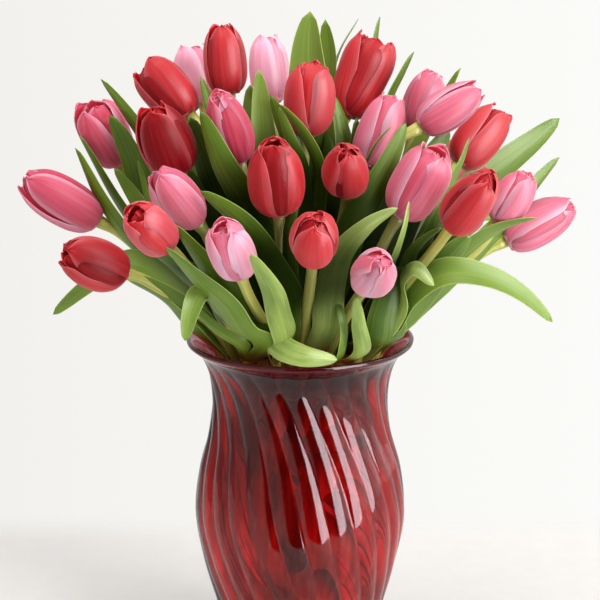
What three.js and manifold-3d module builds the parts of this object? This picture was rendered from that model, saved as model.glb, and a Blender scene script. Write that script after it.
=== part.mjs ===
// Tulips in a swirl-ribbed ruby glass vase.
// Millimetres, +Z up. The origin is the centre of the vase's flat underside, and the front is -Y.
// Each tulip is two solids: its stem with the leaves that grow from it, and its closed bloom.
import * as THREE from "three";
import { mergeVertices } from "three/addons/utils/BufferGeometryUtils.js";
import Module from "manifold-3d";

const wasm = await Module();
wasm.setup();

// ---------- driving dimensions ----------

const GAP = 0.4; // clearance that neighbouring solids keep
const SLIVER = 0.02; // detail finer than this is smoothed away where leaves are trimmed

// Vase: outer radius by height, from the foot to the lip, and inner radius on the way back down.
const OUTER_WALL = [
  [0, 38],
  [3, 40],
  [20, 43],
  [49, 49.2],
  [80, 57.6],
  [108, 62.1],
  [135, 59.4],
  [158, 53.6],
  [178, 51.4],
  [196, 53.8],
  [208, 60],
  [212, 65],
  [215, 67.5],
];
const LIP_TOP = [216, 65.5];
const INNER_WALL = [
  [214.5, 63.5],
  [204, 54],
  [192, 49.2],
  [178, 47.6],
  [158, 49.9],
  [135, 55.4],
  [108, 58],
  [80, 53.7],
  [49, 45.2],
  [14, 37],
  [10, 34],
];
const FLOOR_HEIGHT = 10;
const VASE_RIBS = 25;
const RIB_HEIGHT = 1.3;
const RIB_RISE = [3, 13]; // the heights between which the ribs grow to their full height
const RIB_FADE = [200, 210]; // and the heights between which they fade out under the lip
const SIDES_PER_RIB = 3;
// The ribs' swirl: angle in degrees by height.
const SWIRL = [
  [0, 70],
  [10, 66],
  [49, 52],
  [80, 42],
  [113, 34],
  [150, 26],
  [178, 15],
  [205, 3],
  [216, 0],
];

// Stems
const STEM_RADIUS = 3.5;
const STEM_SIDES = 6;
const STEM_STEPS = 10;
const FOOT_HEIGHT = 11.8; // the cut ends stand on the vase's floor
const NECK_HEIGHT = 175;
const MOUTH_HEIGHT = 220;
const NECK_RADIUS = 41; // no stem's axis passes the neck further out
const NECK_SPACING = 13.5; // and no two axes are closer there
const NECK_ROUNDS = 400; // passes that push crowded axes apart
const DRAW_IN = 0.34; // neck place from the bloom's place in plan
const FOOT_DRAW = 0.7; // foot place from the neck place
const FOOT_TURN = THREE.MathUtils.degToRad(55); // the bundle's spiral inside the vase
const MOUTH_SPREAD = 1.28; // mouth place from the neck place
const BLOOM_LEAD = 18; // the last straight stretch below a bloom
const CURVE_POINTS = 200; // points that a stem's middle line is searched through
const POURING_GAP = { x: -13, y: 36, radius: 17 }; // left free of stems, for the watering can

// Blooms: radius against length, as shares
const BLOOM_PROFILE = [
  [0, 0],
  [0.03, 0.48],
  [0.14, 0.82],
  [0.38, 1],
  [0.62, 0.9],
  [0.84, 0.58],
  [0.97, 0.24],
  [1, 0],
];
const BLOOM_SIDES = 9;

// Leaves
const LEAF_FROM = 208; // height on the stem where a leaf's blade comes away
const LEAF_STEPS = 6;
const LEAF_THICKNESS = 1.6;
const LEAF_THINNING = 0.5; // the share of its thickness that a blade loses by its tip
const LEAF_BASE = 0.5; // width at the stem, as a share of the full width
const LEAF_OPENING = 1.4; // how fast the blade opens from there
const LEAF_TAPER = 2.6; // how late it narrows to its point
const LEAF_CHANNEL = 0.14; // how far the edges stand up, as a share of the width
const LEAF_ROOM = 2; // sideways, neighbours keep this many times the clearance from a blade

const PINK = 0xe0708c;
const RED = 0xc22a32;
const GREEN = 0x5f8a34;
const RUBY = 0x6e0a12;

// Tulips: where the bloom meets its stem, its tip, its width and its colour
const TULIPS = [
  { base: [-118, 0, 286], tip: [-159, -10, 314], width: 28, colour: PINK },
  { base: [-101, -40, 265], tip: [-132, -62, 283], width: 30, colour: RED },
  { base: [-107, 25, 315], tip: [-122, 16, 352], width: 28, colour: PINK },
  { base: [-65, 32, 342], tip: [-91, 42, 371], width: 29, colour: RED },
  { base: [-69, -22, 319], tip: [-84, -26, 358], width: 33, colour: RED },
  { base: [-58, 78, 340], tip: [-67, 92, 373], width: 27, colour: PINK },
  { base: [-42, 36, 354], tip: [-46, 44, 394], width: 26, colour: RED },
  { base: [-17, 62, 344], tip: [-21, 76, 382], width: 25, colour: PINK },
  { base: [-35, -22, 326], tip: [-46, -32, 367], width: 28, colour: PINK },
  { base: [-12, -58, 305], tip: [-14, -72, 347], width: 32, colour: RED },
  { base: [-59, -48, 297], tip: [-79, -68, 330], width: 27, colour: PINK },
  { base: [-74, -86, 293], tip: [-89, -114, 317], width: 26, colour: RED },
  { base: [-33, -95, 279], tip: [-42, -118, 311], width: 25, colour: PINK },
  { base: [4, 6, 336], tip: [8, 4, 378], width: 29, colour: RED },
  { base: [27, 46, 339], tip: [47, 58, 384], width: 30, colour: RED },
  { base: [38, 10, 317], tip: [55, 14, 357], width: 26, colour: PINK },
  { base: [26, -44, 316], tip: [25, -78, 344], width: 28, colour: RED },
  { base: [7, -92, 288], tip: [8, -120, 314], width: 28, colour: RED },
  { base: [37, -84, 270], tip: [43, -130, 294], width: 25, colour: PINK },
  { base: [57, -40, 299], tip: [78, -50, 339], width: 31, colour: PINK },
  { base: [68, 52, 326], tip: [80, 62, 363], width: 27, colour: PINK },
  { base: [70, 2, 341], tip: [104, 4, 363], width: 24, colour: PINK },
  { base: [94, 36, 312], tip: [121, 48, 341], width: 27, colour: RED },
  { base: [85, -66, 299], tip: [103, -94, 334], width: 28, colour: RED },
  { base: [113, -28, 293], tip: [129, -34, 321], width: 24, colour: PINK },
  { base: [121, 8, 272], tip: [160, 10, 293], width: 27, colour: PINK },
  { base: [-72, 92, 290], tip: [-90, 128, 314], width: 30, colour: RED },
  { base: [4, 118, 292], tip: [2, 154, 320], width: 29, colour: PINK },
  { base: [84, 96, 280], tip: [104, 128, 304], width: 30, colour: RED },
];

// Leaves: the tulip that each grows on, its full width, how far its outer face turns from the front in
// degrees towards the base and at the tip, then the middle line of its blade.
const LEAVES = [
  [1, 15, [-40, -50], [-88, -4, 261], [-105, -6, 283], [-118, -4, 303], [-130, 0, 329]],
  [2, 19, [-110, -130], [-78, -18, 253], [-99, -16, 264], [-122, -14, 250], [-144, -14, 233]],
  [3, 11, [-40, -50], [-94, 6, 276], [-108, 6, 298], [-118, 6, 316], [-128, 6, 335]],
  [3, 14, [-20, -20], [-87, -14, 284], [-93, -12, 297], [-100, -10, 308], [-107, -10, 319]],
  [4, 14, [-30, -40], [-72, 12, 296], [-87, 10, 326], [-102, 8, 350], [-115, 8, 368]],
  [5, 21, [-10, -20], [-77, -6, 285], [-91, -2, 305], [-100, 0, 328], [-110, 2, 348]],
  [5, 8, [-30, -40], [-85, -22, 291], [-88, -20, 305], [-93, -16, 325]],
  [6, 12, [30, 30], [-44, 30, 322], [-52, 26, 347], [-58, 24, 367]],
  [7, 18, [170, 160], [-36, 52, 270], [-44, 66, 305], [-52, 66, 340]],
  [8, 19, [170, 170], [-16, 8, 296], [-20, 12, 325], [-22, 14, 349], [-24, 16, 372]],
  [9, 22, [-20, -30], [-22, -30, 276], [-31, -38, 304], [-44, -42, 328], [-56, -38, 358]],
  [10, 22, [-20, -40], [-8, -60, 254], [-16, -66, 273], [-31, -70, 298], [-55, -74, 320]],
  [10, 18, [0, 0], [-6, -50, 225], [-18, -60, 237], [-29, -66, 245], [-38, -68, 253]],
  [11, 18, [-20, -40], [-38, -78, 259], [-47, -86, 274], [-59, -90, 291], [-69, -94, 306]],
  [
    11, 15, [-170, -180], [-46, -56, 244], [-51, -70, 258], [-57, -81, 262], [-61, -86, 253],
    [-64, -84, 237],
  ],
  [
    12, 19, [-30, -50], [-18, -60, 226], [-32, -74, 239], [-41, -84, 256], [-55, -94, 273],
    [-74, -104, 296],
  ],
  [13, 14, [30, -20], [-8, -66, 232], [-11, -84, 250], [-15, -106, 271], [-26, -130, 298]],
  [13, 15, [0, -20], [-18, -58, 231], [-9, -70, 228], [3, -74, 225], [21, -70, 222]],
  [14, 14, [-30, -50], [9, -26, 301], [10, -26, 322], [2, -22, 341], [-11, -18, 358]],
  [14, 34, [170, 160], [7, 20, 330], [6, 24, 359], [5, 26, 382], [6, 24, 405]],
  [15, 16, [40, 50], [31, 14, 301], [29, 20, 324], [25, 24, 341], [21, 26, 354]],
  [16, 8, [60, 70], [33, -12, 301], [38, -14, 322], [44, -14, 335], [52, -12, 344]],
  [17, 19, [10, 20], [31, -42, 293], [44, -36, 315], [54, -30, 334], [60, -26, 349]],
  [10, 11, [-20, -30], [-6, -50, 229], [-5, -60, 253], [-6, -65, 277], [-6, -64, 298], [-1, -60, 313]],
  [18, 17, [10, 30], [15, -58, 236], [17, -66, 258], [23, -72, 283], [37, -76, 300], [54, -76, 311]],
  [19, 10, [20, 10], [35, -60, 222], [33, -76, 244], [31, -88, 263]],
  [20, 10, [50, 60], [52, -56, 272], [56, -70, 288], [59, -76, 303], [60, -78, 315]],
  [20, 25, [20, 10], [48, -46, 226], [50, -52, 242], [53, -54, 258], [58, -54, 272]],
  [21, 17, [70, 60], [51, 34, 327], [54, 34, 351], [61, 36, 366], [67, 38, 379]],
  [21, 12, [30, 40], [60, -40, 265], [64, -46, 278], [72, -50, 288], [80, -52, 294]],
  [22, 15, [120, 120], [58, 14, 300], [82, 30, 346], [94, 28, 371]],
  [23, 25, [20, 10], [108, 52, 296], [128, 60, 310], [143, 66, 321], [157, 70, 333]],
  [23, 18, [130, 140], [84, 60, 262], [112, 84, 272], [134, 96, 258]],
  [24, 22, [20, 20], [72, -34, 253], [80, -38, 266], [88, -42, 278], [96, -46, 288]],
  [24, 14, [0, -20], [57, -52, 250], [57, -62, 268], [64, -68, 275], [75, -70, 265]],
  [25, 12, [50, 60], [84, -8, 297], [90, -4, 312], [95, 0, 323], [98, 2, 335]],
  [25, 16, [20, 30], [123, 2, 289], [135, 4, 304], [142, 6, 312], [151, 8, 322]],
  [26, 20, [40, 60], [76, -24, 252], [95, -28, 272], [113, -34, 288], [134, -40, 297]],
  [
    26, 19, [130, 130], [58, -40, 239], [65, -48, 255], [82, -54, 268], [104, -54, 266],
    [124, -52, 256], [144, -48, 238],
  ],
  [27, 19, [-150, -130], [-62, 84, 262], [-88, 100, 286], [-112, 112, 296]],
  [27, 18, [0, 0], [-44, 90, 258], [-52, 118, 268], [-60, 140, 252]],
  [28, 20, [180, 170], [-4, 86, 262], [-14, 112, 290], [-20, 126, 322]],
  [28, 22, [150, 150], [11, 64, 327], [14, 58, 353], [17, 54, 374], [15, 52, 396]],
  [28, 8, [90, 90], [19, 66, 339], [23, 70, 371], [35, 74, 393]],
  [29, 17, [70, 70], [43, 66, 339], [45, 72, 368], [48, 76, 394]],
  [29, 18, [0, 0], [36, 88, 262], [44, 118, 276], [50, 142, 262]],
  [1, 24, [-50, -50], [-62, 6, 252], [-84, 14, 272], [-100, 20, 284]],
  [6, 24, [-150, -150], [-50, 40, 262], [-64, 56, 292], [-76, 62, 318]],
  [8, 24, [175, 170], [-10, 52, 268], [-16, 72, 300], [-20, 84, 326]],
  [9, 25, [-10, -10], [-40, -10, 262], [-58, -8, 290], [-66, -4, 318]],
  [12, 22, [-30, -40], [-46, -50, 252], [-66, -58, 270], [-84, -62, 284]],
  [15, 24, [160, 160], [34, 40, 268], [42, 50, 300], [44, 52, 326]],
  [16, 24, [10, 10], [24, -6, 262], [30, 2, 292], [34, 4, 312]],
  [17, 22, [0, 0], [12, -24, 262], [18, -20, 290], [22, -18, 314]],
  [22, 24, [20, 20], [52, -4, 262], [64, 4, 290], [76, 8, 318], [87, 12, 338]],
  [25, 24, [40, 40], [70, -12, 258], [90, -12, 276], [106, -8, 286]],
  [20, 12, [80, 60], [25, -60, 224], [26, -66, 238], [24, -64, 248], [20, -58, 257]],
  [2, 20, [-40, -40], [-58, -20, 227], [-70, -26, 241], [-85, -30, 253], [-100, -34, 261]],
  [5, 20, [-30, -30], [-18, -58, 230], [-27, -62, 237], [-34, -60, 247], [-39, -52, 254]],
  [12, 8, [-30, -30], [-34, -56, 227], [-44, -58, 234], [-54, -56, 242], [-62, -50, 251]],
  [5, 25, [-20, -20], [-50, -8, 240], [-64, -4, 275], [-72, 0, 300]],
  [7, 25, [0, 0], [-28, 10, 245], [-36, 16, 285], [-42, 20, 312]],
  [14, 25, [0, 0], [-4, -6, 250], [-12, -4, 285], [-14, 0, 312]],
  [16, 25, [0, 0], [8, 8, 250], [12, 14, 290], [14, 18, 320]],
  [20, 25, [10, 10], [30, -14, 250], [42, -12, 285], [46, -8, 310]],
  [22, 25, [20, 20], [46, 14, 250], [66, 24, 285], [80, 30, 305]],
  [3, 24, [-30, -30], [-60, 14, 250], [-82, 20, 272], [-96, 24, 290]],
  [26, 24, [30, 30], [62, 10, 248], [86, 16, 270], [104, 18, 284]],
  [8, 20, [170, 170], [-29, 55, 317], [-29, 60, 337], [-30, 62, 355]],
  [9, 24, [-10, -20], [-44, -8, 291], [-51, -8, 313], [-58, -6, 332], [-63, -4, 348]],
  [14, 14, [10, 10], [18, 10, 320], [19, 16, 337], [18, 18, 350]],
  [16, 14, [20, 20], [30, 5, 312], [33, 12, 328], [33, 14, 344]],
  [14, 16, [-10, -20], [-5, 0, 328], [-12, 4, 346], [-17, 6, 359]],
  [10, 13, [-20, -30], [0, -20, 320], [-6, -20, 338], [-12, -16, 356]],
].map(([of, width, turn, ...path]) => ({ of, width, turn, path }));

// ---------- shared helpers ----------

const vector = ([x, y, z]) => new THREE.Vector3(x, y, z);

// The value at x of a table of [x, value] rows, straight between its rows.
function lookUp(table, x) {
  const after = table.findIndex(([at]) => at >= x);
  if (after === 0) return table[0][1];
  if (after < 0) return table[table.length - 1][1];
  const [x0, v0] = table[after - 1];
  const [x1, v1] = table[after];
  return v0 + ((v1 - v0) * (x - x0)) / (x1 - x0);
}

// A closed geometry as a manifold solid with its faces outwards.
function solidOf(geometry) {
  const bare = geometry.clone();
  bare.deleteAttribute("normal");
  bare.deleteAttribute("uv");
  const merged = mergeVertices(bare, 1e-3);
  const triVerts = new Uint32Array(merged.index.array);
  const vertProperties = new Float32Array(merged.attributes.position.array);
  const made = new wasm.Manifold(new wasm.Mesh({ numProp: 3, vertProperties, triVerts }));
  if (made.volume() > 0) return made;
  const flipped = triVerts.map((_, i) => triVerts[i % 3 === 0 ? i : i % 3 === 1 ? i + 1 : i - 1]);
  return new wasm.Manifold(new wasm.Mesh({ numProp: 3, vertProperties, triVerts: flipped }));
}

function geometryOf(solid) {
  const { vertProperties, numProp, triVerts } = solid.getMesh();
  const position = new THREE.BufferAttribute(new Float32Array(vertProperties), numProp);
  const geometry = new THREE.BufferGeometry().setAttribute("position", position);
  geometry.setIndex(new THREE.BufferAttribute(new Uint32Array(triVerts), 1));
  geometry.computeVertexNormals();
  return geometry;
}

function piece(name, solid, look) {
  const mesh = new THREE.Mesh(geometryOf(solid), new THREE.MeshStandardMaterial(look));
  mesh.name = name;
  return mesh;
}

// ---------- vase ----------

// A lathe turned through the ribs' swirl, with the outer wall drawn out along each rib's ridge.
function vaseGeometry() {
  const outline = [[0, 0], ...OUTER_WALL, LIP_TOP, ...INNER_WALL, [FLOOR_HEIGHT, 0]];
  const profile = outline.map(([z, r]) => new THREE.Vector2(r, z));
  const geometry = new THREE.LatheGeometry(profile, VASE_RIBS * SIDES_PER_RIB);
  const position = geometry.attributes.position;
  const share = (z, [from, to]) => THREE.MathUtils.clamp((z - from) / (to - from), 0, 1);
  for (let i = 0; i < position.count; i++) {
    const row = i % profile.length;
    const side = Math.floor(i / profile.length);
    const { x: r, y: z } = profile[row];
    const isOuter = row > 0 && row <= OUTER_WALL.length;
    const height = RIB_HEIGHT * share(z, RIB_RISE) * (1 - share(z, RIB_FADE));
    const ridge = Math.cos((2 * Math.PI * side) / SIDES_PER_RIB);
    const out = r + (isOuter ? height * ridge : 0);
    const turn = THREE.MathUtils.degToRad(lookUp(SWIRL, z));
    const angle = (2 * Math.PI * side) / (VASE_RIBS * SIDES_PER_RIB) + turn;
    position.setXYZ(i, out * Math.cos(angle), out * Math.sin(angle), z);
  }
  return geometry;
}

// ---------- stems ----------

// Where each stem's axis passes the vase's neck: its bloom's place in plan, drawn in, then pushed apart.
function neckPlaces() {
  const places = TULIPS.map(({ base }) => new THREE.Vector2(base[0], base[1]).multiplyScalar(DRAW_IN));
  const pouring = new THREE.Vector2(POURING_GAP.x, POURING_GAP.y);
  const apart = (a, b, spacing, share) => {
    const away = a.clone().sub(b);
    const short = spacing - away.length();
    if (short > 0) a.add(away.setLength(short * share));
    return short > 0 ? away : null;
  };
  for (let round = 0; round < NECK_ROUNDS; round++) {
    for (let i = 0; i < places.length; i++) {
      for (let j = i + 1; j < places.length; j++) {
        const pushed = apart(places[i], places[j], NECK_SPACING, 0.5);
        if (pushed) places[j].sub(pushed);
      }
      apart(places[i], pouring, POURING_GAP.radius, 1);
      places[i].clampLength(0, NECK_RADIUS);
    }
  }
  return places;
}

// A stem's middle line, from the cut end on the vase's floor to the bloom.
function stemCurve({ base, tip }, neck) {
  const at = (place, z) => new THREE.Vector3(place.x, place.y, z);
  const foot = neck.clone().rotateAround(new THREE.Vector2(), FOOT_TURN).multiplyScalar(FOOT_DRAW);
  const mouth = neck.clone().multiplyScalar(MOUTH_SPREAD);
  const end = vector(base);
  const axis = vector(tip).sub(end).normalize();
  return new THREE.CatmullRomCurve3(
    [
      at(foot, FOOT_HEIGHT),
      at(neck, NECK_HEIGHT),
      at(mouth, MOUTH_HEIGHT),
      end.clone().addScaledVector(axis, -BLOOM_LEAD),
      end,
    ],
    false,
    "centripetal",
  );
}

function stemGeometry(curve, grow = 0) {
  const section = new THREE.Shape();
  const corners = Array.from({ length: STEM_SIDES }, (_, i) => {
    const angle = (2 * Math.PI * i) / STEM_SIDES;
    const r = STEM_RADIUS + grow;
    return new THREE.Vector2(r * Math.cos(angle), r * Math.sin(angle));
  });
  section.setFromPoints(corners);
  return new THREE.ExtrudeGeometry(section, { steps: STEM_STEPS, extrudePath: curve });
}

// ---------- blooms ----------

// A closed bloom: an egg turned about its own axis, just clear of the stem's end.
function bloomGeometry({ base, tip, width }, grow = 0) {
  const start = vector(base);
  const axis = vector(tip).sub(start);
  const length = axis.length() - GAP + 2 * grow;
  const profile = BLOOM_PROFILE.map(([along, out]) => {
    const r = out ? (out * width) / 2 + grow : 0;
    return new THREE.Vector2(r, GAP - grow + along * length);
  });
  const geometry = new THREE.LatheGeometry(profile, BLOOM_SIDES);
  const turn = new THREE.Quaternion().setFromUnitVectors(new THREE.Vector3(0, 1, 0), axis.normalize());
  return geometry.applyQuaternion(turn).translate(start.x, start.y, start.z);
}

// ---------- leaves ----------

const FRONT = new THREE.Vector3(0, -1, 0);

// The point of a stem's middle line at a height.
function stemAt(curve, z) {
  const points = curve.getPoints(CURVE_POINTS);
  return points.find((point) => point.z >= z);
}

// A leaf's direction and the direction across it at each step. The blade faces the front at its tip, and is
// carried back from there along the curve without twisting.
function bladeFrames(middle) {
  const frames = [];
  for (let step = LEAF_STEPS; step >= 0; step--) {
    const along = middle.getTangentAt(step / LEAF_STEPS);
    const next = frames[step + 1];
    const across = next ? next.across.clone().projectOnPlane(along) : along.clone().cross(FRONT);
    frames[step] = { along, across: across.normalize() };
  }
  return frames;
}

// A blade: a channelled lens section, swept along the leaf and turned about it, to a point.
function leafGeometry({ path, width, turn }, curve, grow = 0) {
  const through = [stemAt(curve, LEAF_FROM), ...path.map(vector)];
  const middle = new THREE.CatmullRomCurve3(through, false, "centripetal");
  const frames = bladeFrames(middle);
  const points = [];
  for (let step = 0; step < LEAF_STEPS; step++) {
    const s = step / LEAF_STEPS;
    const along = frames[step].along;
    const angle = THREE.MathUtils.degToRad(THREE.MathUtils.lerp(turn[0], turn[1], s));
    const across = frames[step].across.clone().applyAxisAngle(along, angle);
    const outer = across.clone().cross(along);
    const half = (width / 2) * bladeShare(s) + LEAF_ROOM * grow;
    const thick = (LEAF_THICKNESS / 2) * (1 - LEAF_THINNING * s) + grow;
    const lift = -2 * half * LEAF_CHANNEL;
    const at = middle.getPointAt(s);
    const corner = (sideways, outwards) =>
      at.clone().addScaledVector(across, sideways).addScaledVector(outer, outwards);
    points.push(corner(-half, lift), corner(0, thick), corner(half, lift), corner(0, -thick));
  }
  points.push(middle.getPointAt(1));
  return sweep(points);
}

// A leaf's width along its length, as a share of the full width.
function bladeShare(s) {
  const opening = Math.min(1, LEAF_BASE + LEAF_OPENING * s);
  return opening * Math.sqrt(1 - s ** LEAF_TAPER);
}

// The closed skin over rows of four corners that end in one point. Both faces of a thin blade are split
// along the same diagonals, so that neither crosses the other where the blade twists.
function sweep(points) {
  const rows = (points.length - 1) / 4;
  const tip = points.length - 1;
  const index = [0, 2, 1, 0, 3, 2];
  for (let row = 0; row < rows; row++) {
    for (let side = 0; side < 4; side++) {
      const a = 4 * row + side;
      const b = 4 * row + ((side + 1) % 4);
      if (row === rows - 1) index.push(a, b, tip);
      else if (side < 2) index.push(a, b, b + 4, a, b + 4, a + 4);
      else index.push(a, b, a + 4, b, b + 4, a + 4);
    }
  }
  const geometry = new THREE.BufferGeometry().setFromPoints(points);
  geometry.setIndex(index);
  return geometry;
}

// ---------- assembly ----------

const root = new THREE.Group();
root.add(piece("vase", solidOf(vaseGeometry()), { color: RUBY, roughness: 0.08, metalness: 0 }));

const necks = neckPlaces();
const tulips = TULIPS.map((tulip, i) => {
  const curve = stemCurve(tulip, necks[i]);
  return {
    ...tulip,
    curve,
    stem: solidOf(stemGeometry(curve)),
    stemRoom: solidOf(stemGeometry(curve, GAP)),
    bloom: solidOf(bloomGeometry(tulip)),
    bloomRoom: solidOf(bloomGeometry(tulip, GAP)),
  };
});

// Each blade gives way to every bloom, to the other stems and to the blades already placed.
const placed = [];
for (const leaf of LEAVES) {
  const own = tulips[leaf.of - 1];
  let blade = solidOf(leafGeometry(leaf, own.curve));
  for (const other of tulips) {
    blade = blade.subtract(other.bloomRoom);
    if (other !== own) blade = blade.subtract(other.stemRoom);
  }
  for (const earlier of placed) if (earlier.of !== leaf.of) blade = blade.subtract(earlier.room);
  const grown = own.stem.add(blade).decompose();
  own.stem = grown.sort((a, b) => b.volume() - a.volume())[0];
  placed.push({ of: leaf.of, room: solidOf(leafGeometry(leaf, own.curve, GAP)) });
}

tulips.forEach(({ stem, bloom, colour }, i) => {
  const name = `tulip_${String(i + 1).padStart(2, "0")}`;
  root.add(piece(`${name}_stem`, stem.simplify(SLIVER), { color: GREEN, roughness: 0.5, metalness: 0 }));
  root.add(piece(`${name}_bloom`, bloom, { color: colour, roughness: 0.55, metalness: 0 }));
});

export default root;
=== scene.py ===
# The looks of a bunch of 29 tulips in a swirl-ribbed ruby glass vase.
# Shapes are worked out in millimetres in the part's own frame, with the same tables as the CAD source,
# and become metres where a mesh is made. The front is -Y.
import math

import bpy
import numpy as np
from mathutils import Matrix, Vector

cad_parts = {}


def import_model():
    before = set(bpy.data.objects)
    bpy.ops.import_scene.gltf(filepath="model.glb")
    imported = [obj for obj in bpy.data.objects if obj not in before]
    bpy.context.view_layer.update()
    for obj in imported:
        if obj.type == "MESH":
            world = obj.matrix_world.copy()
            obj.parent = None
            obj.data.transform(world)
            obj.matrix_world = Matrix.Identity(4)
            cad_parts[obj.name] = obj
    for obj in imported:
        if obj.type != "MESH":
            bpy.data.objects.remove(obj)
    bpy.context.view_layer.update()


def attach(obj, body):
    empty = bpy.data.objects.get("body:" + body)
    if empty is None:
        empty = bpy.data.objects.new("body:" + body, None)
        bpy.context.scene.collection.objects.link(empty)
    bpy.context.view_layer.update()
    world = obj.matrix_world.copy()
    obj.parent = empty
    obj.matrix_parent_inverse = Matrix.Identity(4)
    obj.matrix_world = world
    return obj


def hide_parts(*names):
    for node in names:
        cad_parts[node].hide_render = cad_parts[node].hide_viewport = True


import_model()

# ---------- driving dimensions, in millimetres ----------

MM = 0.001
BODY = "root"
SEED = 29

# Vase: height and radius
OUTER_WALL = [
    (0, 38), (3, 40), (20, 43), (49, 49.2), (80, 57.6), (108, 62.1), (135, 59.4),
    (158, 53.6), (178, 51.4), (196, 53.8), (208, 60), (212, 65), (214.3, 67.3),
]
LIP = [(216, 66.6), (216.3, 65.3), (215.6, 64.1)]
INNER_WALL = [
    (213.3, 61.6), (204, 54), (192, 49.2), (178, 47.6), (158, 49.9), (135, 55.4),
    (108, 58), (80, 53.7), (49, 45.2), (14, 37), (10.6, 34),
]
FLOOR_HEIGHT = 10
FOOT_RADIUS = 37
SWIRL = [  # height and turn in degrees
    (0, 70), (10, 66), (49, 52), (80, 42), (113, 34), (150, 26), (178, 15), (205, 3), (217, 0),
]
RIBS = 25
RIB_HEIGHT = 0.75
RIB_RISE = (3, 13)
RIB_FADE = (194, 211)
SIDES_PER_RIB = 16
FLARE_SLOPE = 0.7  # the flared rim's radius against its height
FLARE_MIDDLE = (-86.6, -85.4)  # radius less slope times height, from its inner to its outer face

# Glass: the stretches over which its colour changes, in height unless said
# the glass deepens towards the thick rim, partly its own depth and partly painted shade
RIM_DEEPENS = (188, 203)
RIM_DULLS = (190, 208)
# where the lip gets a painted glow
LIP_GLOWS = (206, 213)
WINE_GATHERS = (90, 190)
WINE_CLEARS = (30, 75)
PAINTED_SHADE_ACROSS = (-60, 10)  # painted shade: the glass is darker on its left and lighter on its right, over this stretch from left to right

# Stems
STEM_RADIUS = 3.3
FOOT_HEIGHT = 11.8
NECK_HEIGHT = 175
MOUTH_HEIGHT = 220
NECK_RADIUS = 41
NECK_SPACING = 13.5
NECK_ROUNDS = 400
DRAW_IN = 0.34
FOOT_DRAW = 0.7
FOOT_TURN = math.radians(55)
MOUTH_SPREAD = 1.28
BLOOM_LEAD = 18
STEMS_PALE = (165, 190)  # the height where the stems' pale part, inside the vase, ends
POURING_GAP = ((-13, 36), 17)

# Leaves
LEAF_FROM = 208
LEAF_THICKNESS = 1.1
LEAF_BASE = 0.5
LEAF_OPENING = 1.4
LEAF_TAPER = 2.6
LEAF_CHANNEL = 0.14
LEAF_BREADTH = 1.08
LEAF_TIP = 0.15  # the half width that is left at a leaf's tip
LEAF_WAVE = 0.09  # how far an edge swells in and out, as a share of the half width
LEAF_WAVES = (1.1, 2.2)  # how many swells an edge has along it

# The bunch's outside; inside it, leaves and stems get painted shade that deepens with depth
DOME_MIDDLE = (0, 0, 240)
DOME_RADIUS = 150
DOME_SKIN = 34  # the blooms' depth
BUNCH_SIDES = [(205, 58), (218, 66), (240, 76), (270, 108), (300, 150)]  # height and radius
# how deep inside the bunch the painted shade goes from none to full, in millimetres
PAINTED_SHADE_DEPTH = (3, 33)

# Petals
PETAL_THICKNESS = 0.6
PETAL_LAP = 0.05  # how far a petal's one edge lies out and the other in, as a share of the bloom's radius
INNER_SET = 0.08  # how far the three inner petals lie inside the outer ones, as a share of the bloom's radius
PETAL_LINE = [  # radius and height of an outer petal's middle line, as shares of the bloom's
    (0.10, 0.0), (0.44, 0.012), (0.79, 0.10), (0.98, 0.27), (1.01, 0.45), (0.93, 0.64),
    (0.73, 0.82), (0.46, 0.94), (0.26, 1.0),
]
PETAL_BREADTH = [  # an outer petal's half width by share of its length, as a share of the bloom's radius
    (0, 0.2), (0.1, 0.52), (0.22, 0.85), (0.36, 1.02), (0.5, 1.03), (0.64, 0.93), (0.76, 0.75),
    (0.87, 0.46), (0.95, 0.2), (1.0, 0.02),
]
INNER_BREADTH = [
    (0, 0.2), (0.1, 0.5), (0.22, 0.82), (0.36, 1.0), (0.5, 1.06), (0.64, 1.02), (0.76, 0.92),
    (0.87, 0.7), (0.95, 0.4), (1.0, 0.04),
]
PETAL_CUP = 0.8  # how much tighter a petal curls across than the bloom is round, which makes the creases
PETAL_CURL = 0.55  # the tightest a petal curls across, as a share of the bloom's radius
PETAL_FOLDS = ((0.010, 7.0), (0.006, 15.0))  # the lengthwise folds' heights, and how close they lie
PETAL_KEEL = 0.022  # how deep the groove along a petal's middle is, as a share of the bloom's radius
PETAL_WAVE = 0.05
PETAL_FLICK = (-0.04, 0.12)  # how far a petal's tip may bend out, as a share of the bloom's radius
PETAL_NOTCH = 0.012  # how ragged a petal's tip is, as a share of its length
PETAL_LEAN = 1.6  # how many degrees a petal leans, as a standard deviation
PETAL_TURN = 3  # and is turned about the bloom's axis
PETAL_TWIST = 5  # and is turned more at its tip
INNER_DEEPER = 0.5  # how much deeper the inner petals' colour is, partly their own colour and partly painted shade where they show between the outer petals
INNER_REACH = 0.12  # how near the axis the inner petals' tips come, as a share of the bloom's radius
HEART_LINE = [(0, 0.5), (0.25, 0.6), (0.5, 0.58), (0.75, 0.44), (0.92, 0.24), (1.0, 0.04)]
HEART_FOOT = 0.45
HEART_TOP = 0.95
# how much deeper the heart's colour is, partly its own colour and partly painted shade down in the cup
HEART_DEEPER = 0.6
PETAL_GLOW = 0.14  # a painted glow on the inner faces of a cup's petals, standing in for the light that comes through the cup
PALE_GLOW = 0.2  # and a painted glow on the outer faces of the palest petals, standing in for the light through them
TONE_SPREAD = 0.12  # how much petals of one bloom, or leaves of one tulip, differ in how pale they are

PINK = "pink"
RED = "red"

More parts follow.
